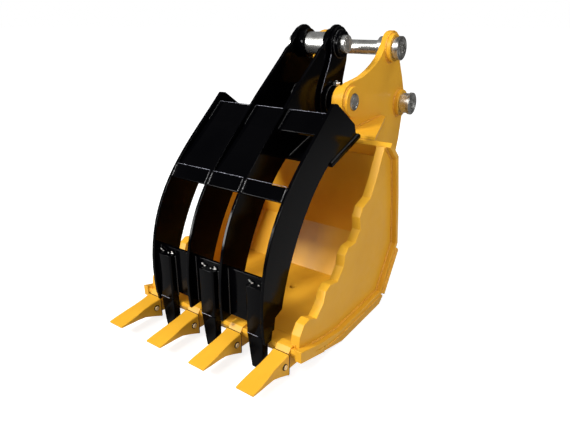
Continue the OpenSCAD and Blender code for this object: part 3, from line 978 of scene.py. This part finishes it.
@dataclass
class Tines:
    """Four curved tines, the plates that join them, and the lugs for the cylinder."""

    shop: Workshop
    outer_x: float = 254.0
    inner_x: float = 80.0
    plate: float = 12.0
    pivot: Pair = (150.0, 798.0)
    lug: Pair = (192.0, 1004.0)
    upper: tuple[Pair, Pair] = ((-130, 799), (-198, 740))
    middle: tuple[Pair, Pair] = ((-371, 607), (-402, 567))
    lower: tuple[Pair, Pair] = ((-480, 331), (-480, 151))
    back: tuple[Pair, Pair] = ((66, 700), (-136, 632))
    tube: tuple[Pair, ...] = ((-43.0, 25.4), (-43.0, 41.5), (-41.5, 43.0), (41.5, 43.0), (43.0, 41.5),
                              (43.0, 25.4), (-43.0, 25.4))
    ring: tuple[Pair, ...] = ((43.6, 25.4), (43.6, 53.0), (45.6, 55.0), (67.6, 55.0), (67.6, 25.4),
                              (43.6, 25.4))
    fitting_x: float = 105.4
    fitting_rise: float = 55.0
    hexagon: tuple[Pair, ...] = ((0, 15), (2, 16), (12, 16), (15, 11))
    nipple: tuple[Pair, ...] = ((15, 5), (20, 5))
    hub_seam: float = 56.5
    lug_seam: float = 51.0
    doubler: float = 13.0
    doubler_front: tuple[Pair, ...] = ((58, 824), (70, 872), (112, 920), (127, 972))

    def build(self) -> None:
        """Builds and dresses the tines."""
        for node in ("tine_outer_left", "tine_outer_right", "tine_inner_left", "tine_inner_right",
                     "lug_doubler_left", "lug_doubler_right", "upper_cross_plates", "middle_cross_plates",
                     "lower_cross_plates", "back_plate"):
            self.shop.eased(node, Body.THUMB, Coat.BLACK, 2.4 * MM, 3)
        for node in ("hub_tube", "lug_bosses"):
            self.shop.eased(node, Body.THUMB, Coat.BLACK, 2.0 * MM, 3)
        for node in ("cylinder_pin", "cylinder_pin_caps"):
            self.shop.eased(node, Body.THUMB, Coat.STEEL, 1.2 * MM)
        self.sleeve()
        self.fittings()
        self.fillers()
        self.welds()

    def fillers(self) -> None:
        """Closes the left and middle bays, each with a sloping plate between two cross plates."""
        (y0, z0), (y1, z1) = self.upper[1], self.middle[0]
        left = (-self.outer_x + self.plate, -self.inner_x)
        middle = (-self.inner_x + self.plate, self.inner_x - self.plate)
        forms = [Loft(2, ((z1 - 4, a, b, y1 + 4, y1 + 18), (z0 + 4, a, b, y0 + 4, y0 + 18)), 16.0, 40, 24)
                 for a, b in (left, middle)]
        self.shop.shaped("upper_cross_fillers", forms, Body.THUMB, Coat.BLACK, self.shop.coats[Coat.BLACK])

    def sleeve(self) -> None:
        """Turns the sleeve on the cylinder pin, a bright tube between two black rings on the tines."""
        self.shop.shaped("sleeve_tube", [Turned(self.tube, self.lug)], Body.THUMB, Coat.STEEL,
                         self.shop.coats[Coat.STEEL], "cylinder_pin_sleeve")
        rings = [Turned(tuple((sign * x, r) for x, r in self.ring), self.lug) for sign in (-1, 1)]
        self.shop.shaped("sleeve_rings", rings, Body.THUMB, Coat.BLACK, self.shop.coats[Coat.BLACK],
                         "cylinder_pin_sleeve")

    def fittings(self) -> None:
        """Turns the two hexagon grease fittings on top of the hub."""
        forms = []
        y, z = self.pivot[0], self.pivot[1] + self.fitting_rise
        for x in (-self.fitting_x, self.fitting_x):
            for outline, sides, steps in ((self.hexagon, 6, 12), (self.nipple, 20, 6)):
                rows = tuple((z + up, x - half, x + half, y - half, y + half) for up, half in outline)
                forms.append(Loft(2, rows, 2.0, sides, steps))
        self.shop.shaped("hub_fittings_turned", forms, Body.THUMB, Coat.STEEL, self.shop.coats[Coat.STEEL],
                         "hub_grease_fittings")

    def welds(self) -> None:
        """Lays the beads in the corners between plates and tines, round the hub and round the lugs."""
        sides = (self.inner_x - self.plate - 1.5, self.inner_x + 1.5, self.outer_x - self.plate - 1.5)
        lines = []
        for edge in (self.upper, self.middle, self.lower):
            a, b = np.array(edge, dtype=float)
            step = (b - a) / np.linalg.norm(b - a)
            rear = np.array([-step[1], step[0]]) * (self.plate + 0.5)
            for x in sides:
                lines.append(Bead(at_x(x, [a - rear / 12, b - rear / 12]), 3.5 * MM))
                lines.append(Bead(at_x(x, [a + rear, b + rear]), 3.5 * MM))
        high, low = np.array(self.back, dtype=float)
        for x in (*sides, self.outer_x + 1.5):
            lines.append(Bead(at_x(x, [high + (-4, 1), low + (4, 1)]), 4.0 * MM))
        doubler = self.inner_x + self.doubler
        for x in (self.inner_x - self.plate - 1.5, doubler):
            lines.append(Bead(circle(x, self.pivot, self.hub_seam), 4.0 * MM, closed=True))
        lines.append(Bead(circle(doubler, self.lug, self.lug_seam), 3.5 * MM, closed=True))
        self.shop.beads("thumb_welds", mirrored(lines), Body.THUMB, Coat.BLACK, self.shop.welds[Coat.BLACK])
        self.seams(doubler)

    def seams(self, doubler: float) -> None:
        """Lays grey beads along the doublers' front edges and the tops of two rows of cross plates, which
        paint the highlights of these edges.

        The front edge is a cubic curve from its first point to its last, and the middle two pull it.

        Args:
            doubler: outer plane of the right doubler, millimetres.
        """
        t = np.linspace(0.06, 1.0, 24)[:, None]
        a, b, c, d = (np.array(p, dtype=float) for p in self.doubler_front)
        front = a * (1 - t) ** 3 + b * 3 * (1 - t) ** 2 * t + c * 3 * (1 - t) * t ** 2 + d * t ** 3
        seams = [Bead(at_x(doubler - 0.5, front), 1.6 * MM)]
        bays = ((-self.inner_x + self.plate, 0.0), (self.inner_x, self.outer_x - self.plate))
        for (y, z), lift in ((self.upper[0], 1.0), (self.middle[0], 3.0)):
            for start, end in bays:
                path = through((start, y - 1, z + lift), (end, y - 1, z + lift))
                seams.append(Bead(path, 1.2 * MM, 9 * MM))
        self.shop.beads("thumb_edge_glints", mirrored(seams), Body.THUMB, Coat.BLACK, self.shop.edge_glint)


@dataclass
class Tips:
    """Three bent sockets on the lower cross plate and the blades in them."""

    shop: Workshop
    places: tuple[float, float, float] = (-206.7, 0.0, 206.7)
    half: float = 35.0
    plate: float = -480.0
    front: float = -506.3
    low: float = 131.0
    high: float = 307.0
    foot_x: float = 248.0
    blade: tuple[Row, ...] = ((2.0, -17, 30, -504.0, -477.0), (40.0, -21, 32, -505.5, -476.0),
                              (100.0, -28, 33, -506.2, -475.5), (130.5, -33, 33, -506.2, -475.5))
    foot: tuple[Row, ...] = ((112.0, -5.5, 5.5, -510.0, -477.0), (143.0, -5.5, 5.5, -514.0, -470.0))
    spatter: tuple[tuple[float, float, float, float], ...] = (
        (-37, -24, 9, 2), (-27, -16, -3, 3), (2, 12, 1, -5), (14, 33, -2, 4), (20, 30, 9, 6))

    def bar(self, rows: tuple[Row, ...], x: float, square: float, steps: int) -> Loft:
        """Stands a bar with 40 sides at a place across the thumb.

        Args:
            rows: its rows round x = 0.
            x: the place.
            square: how square its sections are.
            steps: sections along it.

        Returns:
            The bar.
        """
        return Loft(2, tuple((z, x + a, x + b, y0, y1) for z, a, b, y0, y1 in rows), square, 40, steps)

    def build(self) -> None:
        """Builds and dresses the tips."""
        dark, bright, seams = [], [], []
        for number, x in enumerate(self.places, start=1):
            self.shop.eased(f"tip_socket_{number}", Body.THUMB, Coat.BLACK, 1.2 * MM)
            self.shop.shaped(f"tip_blade_{number}_forged", [self.bar(self.blade, x, 12.0, 24)], Body.THUMB,
                             Coat.BLACK, self.shop.coats[Coat.BLACK], f"tip_blade_{number}")
            y = self.plate - 1
            for side in (x - self.half - 1.0, x + self.half + 1.0):
                dark.append(Bead(through((side, y, self.low + 8), (side, y, self.high - 4)), 3.5 * MM))
            # A grey line along each socket's bottom edge paints the highlight of that edge.
            y, z = self.front + 1, self.low - 0.5
            seams.append(Bead(through((x - 33, y, z), (x + 15, y, z)), 1.6 * MM))
            for start, end, rise, drop in self.spatter:
                path = through((x + start, self.plate - 4, self.high + rise),
                               (x + (start + end) / 2, self.plate - 7, self.high + (rise + drop) / 2 + 2),
                               (x + end, self.plate - 5, self.high + drop))
                bright.append(Bead(path, 2.3 * MM, 5 * MM))
        self.shop.beads("tip_welds", dark, Body.THUMB, Coat.BLACK, self.shop.welds[Coat.BLACK])
        feet = [self.bar(self.foot, x, 14.0, 12) for x in (-self.foot_x, self.foot_x)]
        self.shop.shaped("outer_tine_feet", feet, Body.THUMB, Coat.BLACK, self.shop.coats[Coat.BLACK])
        self.shop.beads("tip_cap_welds", bright, Body.THUMB, Coat.BLACK, self.shop.welds[Coat.STEEL])
        self.shop.beads("tip_edge_glints", seams, Body.THUMB, Coat.BLACK, self.shop.edge_glint)


@dataclass
class Studio:
    """Pale floor, soft lamps and the camera."""

    eye: Spot = (1.0832, -1.5704, 1.0964)
    azimuth: float = 35.34
    elevation: float = 21.27
    focal_pixels: float = 500.0
    image_width: float = 570.0
    sensor: float = 36.0
    aim: Spot = (0.0, 0.0, 0.45)
    floor_half: float = 60.0
    floor_shade: float = 0.5
    floor_glow: tuple[float, float, float, float] = (0.9, 2.6, 0.82, 1.02)
    sky_as_light: float = 0.12

    def camera(self) -> None:
        """Makes the camera: it looks along the azimuth and elevation from its eye point."""
        data = bpy.data.cameras.new("camera")
        data.sensor_width = self.sensor
        data.sensor_fit = "HORIZONTAL"
        data.lens = self.focal_pixels / self.image_width * self.sensor
        data.clip_start, data.clip_end = 0.05, 60.0
        camera = bpy.data.objects.new("camera", data)
        a, e = math.radians(self.azimuth), math.radians(self.elevation)
        back = Vector((math.sin(a) * math.cos(e), -math.cos(a) * math.cos(e), math.sin(e)))
        right = Vector((math.cos(a), math.sin(a), 0.0))
        up = back.cross(right)
        turn = Matrix((right, up, back)).transposed()
        camera.matrix_world = Matrix.Translation(self.eye) @ turn.to_4x4()
        bpy.context.scene.collection.objects.link(camera)
        bpy.context.scene.camera = camera

    def floor(self) -> None:
        """Makes the pale floor, which keeps the shadow and whose glow rises to the white of the backdrop.

        The glow is seen by the camera alone. It rises between two distances from the middle, in metres.
        """
        size = self.floor_half
        corners = [(-size, -size, 0), (size, -size, 0), (size, size, 0), (-size, size, 0)]
        mesh = bpy.data.meshes.new("floor")
        mesh.from_pydata(corners, [], [(0, 1, 2, 3)])
        w = Wiring("floor_white")
        shade = self.floor_shade
        w.fix(w.shader, Base_Color=(shade, shade, shade, 1), Roughness=0.9, Specular_IOR_Level=0.1)
        rays = w.add("ShaderNodeLightPath")
        reach = w.add("ShaderNodeVectorMath", operation="LENGTH")
        w.join(w.place, "Object", reach, "Vector")
        level = w.add("ShaderNodeMapRange")
        w.join(reach, "Value", level, "Value")
        for key, value in zip(("From Min", "From Max", "To Min", "To Max"), self.floor_glow):
            level.inputs[key].default_value = value
        glow = w.add("ShaderNodeMath", operation="MULTIPLY")
        w.join(rays, "Is Camera Ray", glow, 0)
        w.join(level, "Result", glow, 1)
        w.fix(w.shader, Emission_Color=(1, 1, 1, 1))
        w.join(glow, "Value", w.shader, "Emission Strength")
        mesh.materials.append(w.material)
        floor = bpy.data.objects.new("floor", mesh)
        floor.location.z = -0.001
        bpy.context.scene.collection.objects.link(floor)

    def lamp(self, name: str, eye: Spot, size: float, watts: float, tall: float = 1.0,
             gloss_only: bool = False) -> None:
        """Adds one soft lamp that faces the object's middle.

        Args:
            name: the lamp's name.
            eye: its place.
            size: its width.
            watts: its strength.
            tall: its height as a share of the width.
            gloss_only: whether it shows only as a glint on glossy surfaces.
        """
        data = bpy.data.lights.new(name, "AREA")
        data.shape = "RECTANGLE"
        data.size, data.size_y = size, size * tall
        data.energy = watts
        lamp = bpy.data.objects.new(name, data)
        lamp.visible_diffuse = not gloss_only
        lamp.location = eye
        lamp.rotation_euler = (Vector(self.aim) - Vector(eye)).to_track_quat("-Z", "Y").to_euler()
        bpy.context.scene.collection.objects.link(lamp)

    def light(self) -> None:
        """Sets the world and the lamps: the backdrop is white to the camera and dimmer as light."""
        world = bpy.data.worlds.new("studio")
        world.use_nodes = True
        nodes, links = world.node_tree.nodes, world.node_tree.links
        sky = nodes["Background"]
        sky.inputs["Color"].default_value = (1, 1, 1, 1)
        rays = nodes.new("ShaderNodeLightPath")
        seen, level = nodes.new("ShaderNodeMath"), nodes.new("ShaderNodeMath")
        seen.operation, level.operation = "MAXIMUM", "MULTIPLY_ADD"
        links.new(rays.outputs["Is Camera Ray"], seen.inputs[0])
        links.new(rays.outputs["Is Transmission Ray"], seen.inputs[1])
        links.new(seen.outputs[0], level.inputs[0])
        level.inputs[1].default_value = 1.0 - self.sky_as_light
        level.inputs[2].default_value = self.sky_as_light
        links.new(level.outputs[0], sky.inputs["Strength"])
        bpy.context.scene.world = world
        self.lamp("key", (-1.0, -3.98, 3.6), 0.9, 255)
        self.lamp("front", (0.45, -3.3, 3.9), 0.7, 38)
        self.lamp("sheet", (0.2, -2.8, 2.7), 2.8, 36)
        self.lamp("side", (4.0, 0.5, 1.7), 1.0, 58)
        self.lamp("top", (0.9, 0.6, 3.8), 1.6, 34)
        self.lamp("glint", (-2.0, -2.9, 1.35), 0.6, 110, tall=2.4, gloss_only=True)
        bpy.context.scene.view_settings.view_transform = "Standard"


def main() -> None:
    """Builds the studio and every sub-assembly in order, and logs the faces of each new piece."""
    logging.basicConfig(level=logging.INFO, format="%(message)s")
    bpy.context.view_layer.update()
    studio = Studio()
    studio.camera()
    studio.floor()
    studio.light()
    bright = TurnedSteel("turned_steel", (214, 214, 211), (190, 188, 183), 0.24, 0.3, 0.9)
    shop = Workshop(
        coats={
            Coat.YELLOW: Paint("yellow_enamel", (224, 166, 46), (216, 157, 40), 0.34, 0.17).material(),
            Coat.BLACK: Paint("black_enamel", (3, 3, 4), (1, 1, 2), 0.11, 0.06).material(),
            Coat.STEEL: bright.material(),
        },
        welds={
            Coat.YELLOW: RoughWeld("yellow_weld", (232, 170, 56), (206, 140, 34), 0.4).material(),
            Coat.BLACK: RoughWeld("black_weld", (22, 22, 23), (10, 10, 11), 0.22).material(),
            Coat.STEEL: RoughWeld("bare_weld", (216, 214, 210), (96, 92, 88), 0.34, 0.8).material(),
        },
        cap_steel=TurnedSteel("cap_steel", (186, 185, 181), (120, 118, 113), 0.2, 0.38, 0.85).material(),
        # Pale tan lock pin ends: the light colour paints their highlight.
        lock_steel_painted_highlight=TurnedSteel("lock_steel_painted_highlight", (255, 226, 178), (226, 190, 132), 0.3, 0.45, 0.25).material(),
        # Grey metallic lines that paint the highlights of edges.
        edge_glint=RoughWeld("painted_edge_glint", (120, 121, 130), (52, 52, 58), 0.3, 0.6).material(),
    )
    line = SideLine()
    for assembly in (BucketShell(shop, line), WearParts(shop, line), Teeth(shop, line), Ears(shop, line),
                     Pins(shop), Tines(shop), Tips(shop)):
        assembly.build()
        log.info("built %s", type(assembly).__name__)


if __name__ == "__main__":
    main()
